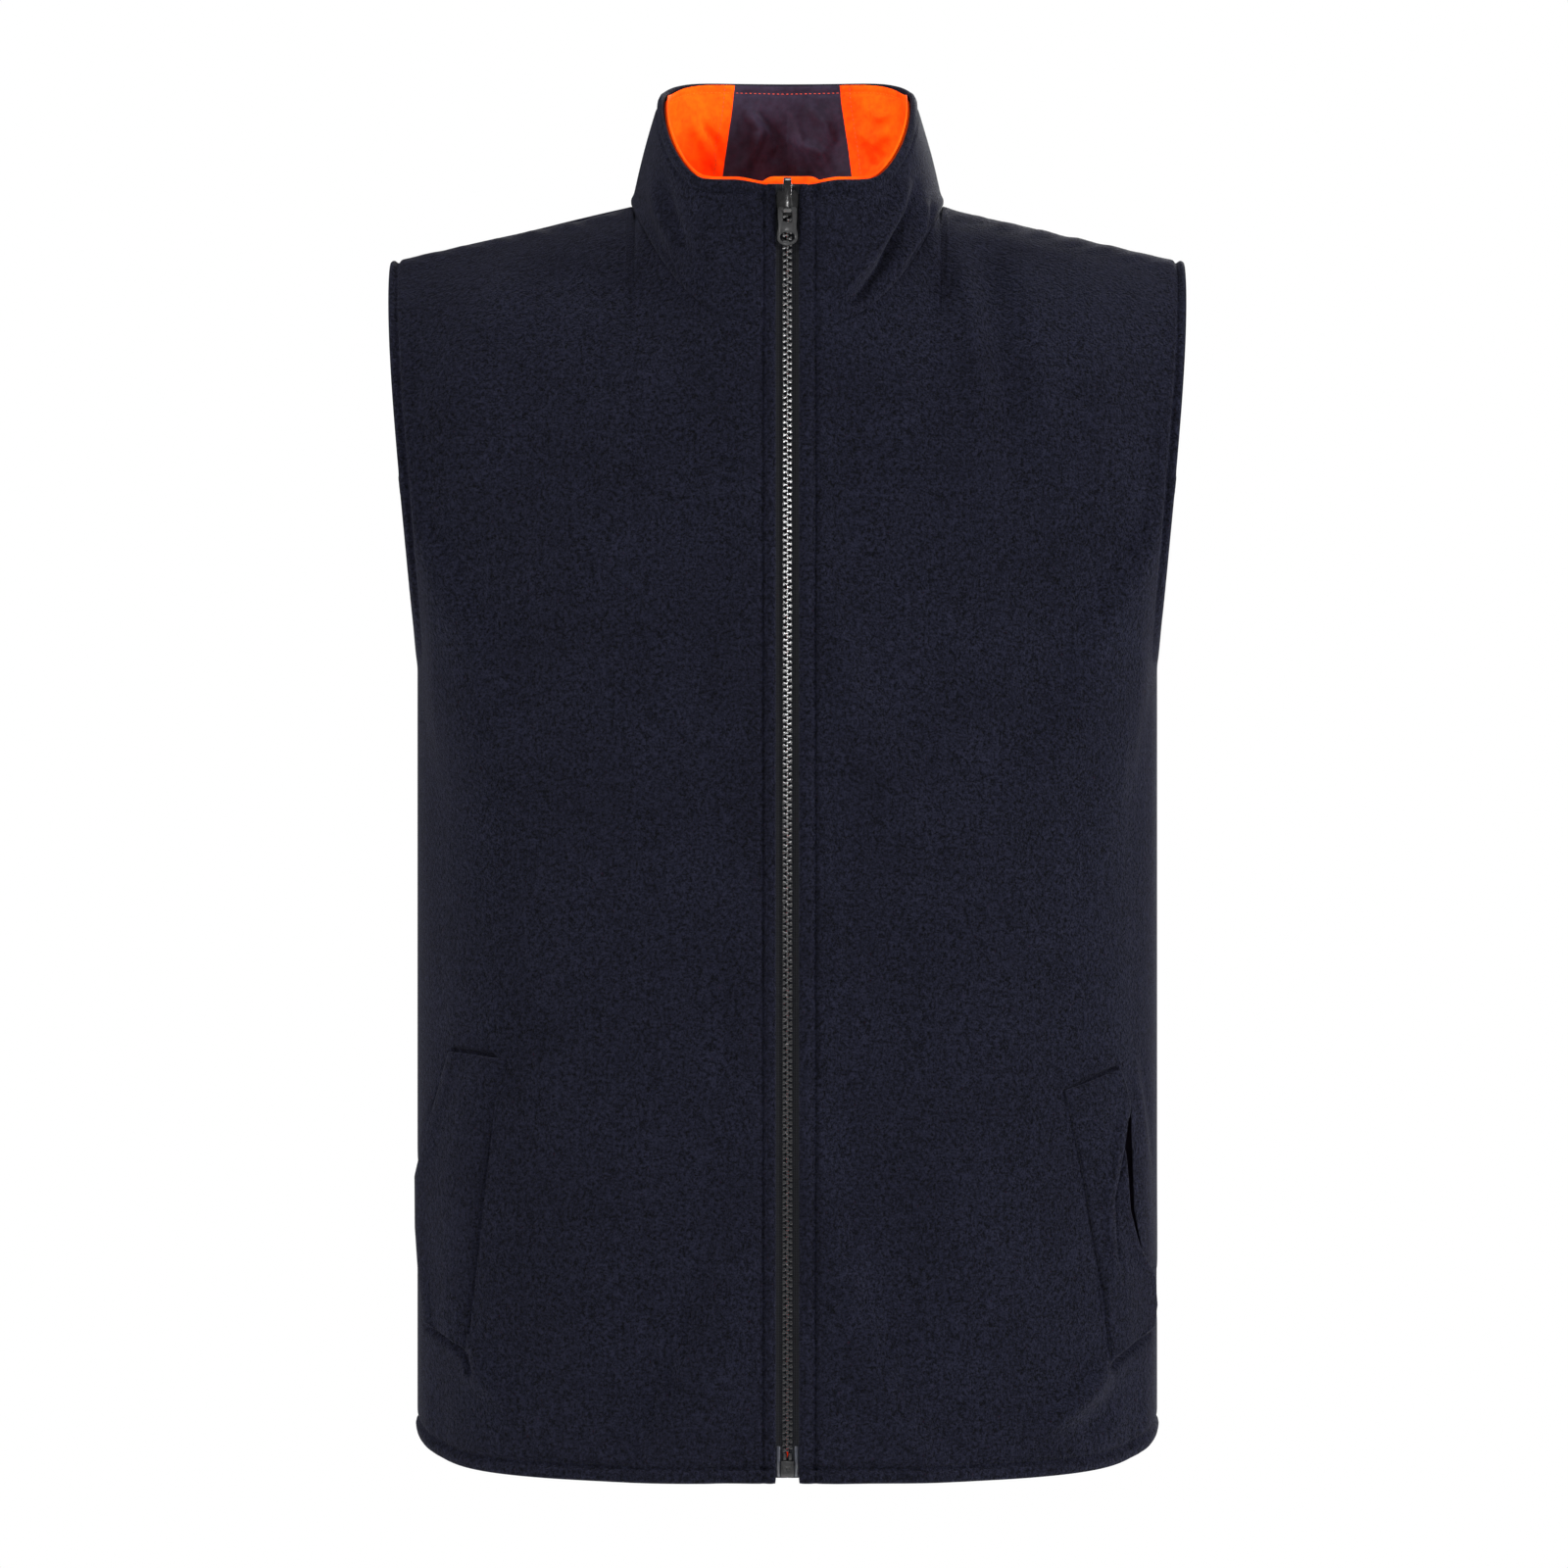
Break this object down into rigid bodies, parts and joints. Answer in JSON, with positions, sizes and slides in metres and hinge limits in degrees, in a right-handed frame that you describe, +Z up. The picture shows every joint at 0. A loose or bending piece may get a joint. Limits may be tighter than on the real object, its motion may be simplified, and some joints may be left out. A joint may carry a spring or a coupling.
{
  "type": "reversible zip vest",
  "caption": "Reversible sleeveless vest worn navy fleece side out, with orange shell inside, stand collar, welt hand pockets and a full length moulded zip.",
  "frame": {"origin": "middle of the neck opening, level with the points where the shoulders meet the collar, where a wearer or a display form holds the vest up", "axes": "+Z up, -Y towards the front, +X towards the wearer's left"},
  "size_m": [0.456, 0.2333, 0.801],
  "materials": {
    "navy_fleece": "short brushed nap",
    "orange_woven": "plain weave, fluorescent",
    "navy_woven": "plain weave",
    "zip_tape": "woven tape",
    "tape_film": "thin bonded film",
    "black_moulded": "moulded, satin"
  },
  "bodies": {
    "vest": {"fleece_front_right": "navy_fleece", "fleece_front_left": "navy_fleece", "fleece_back": "navy_fleece", "shell_front_right": "orange_woven", "shell_front_left": "orange_woven", "shell_back": "orange_woven", "pocket_welt_right": "navy_fleece", "pocket_welt_left": "navy_fleece", "pocket_bag_right": "navy_woven", "pocket_bag_left": "navy_woven", "fleece_collar": "navy_fleece", "collar_lining_right": "orange_woven", "collar_lining_left": "orange_woven", "collar_lining_centre": "navy_woven", "zip_tape_right": "zip_tape", "zip_tape_left": "zip_tape", "tooth_chain_right": "black_moulded", "tooth_chain_left": "black_moulded", "top_stop_right": "black_moulded", "top_stop_left": "black_moulded", "tape_end_film_right": "tape_film", "tape_end_film_left": "tape_film", "box_pin": "black_moulded", "insertion_pin": "black_moulded", "retainer_box": "black_moulded"},
    "slider": {"slider_body": "black_moulded", "pull_rail": "black_moulded"},
    "pull": {"pull_tab": "black_moulded"},
    "storm_flap": {"storm_flap": "orange_woven"},
    "hanger_loop": {"hanger_loop": "orange_woven"}
  },
  "joints": [
    {"name": "slider_travel", "type": "slide", "parent": "vest", "child": "slider", "axis": [0, 0, -1], "range_m": [0, 0.698]},
    {"name": "pull_swing", "type": "hinge", "parent": "slider", "child": "pull", "pos_m": [0, -0.1006, -0.0102], "axis": [-1, 0, 0], "range_deg": [0, 130]},
    {"name": "storm_flap_swing", "type": "hinge", "parent": "vest", "child": "storm_flap", "pos_m": [0.0192, -0.09, -0.35], "axis": [0, 0, -1], "range_deg": [0, 100]},
    {"name": "hanger_loop_swing", "type": "hinge", "parent": "vest", "child": "hanger_loop", "pos_m": [0, 0.05017, -0.0076], "axis": [-1, 0, 0], "range_deg": [0, 120]}
  ]
}
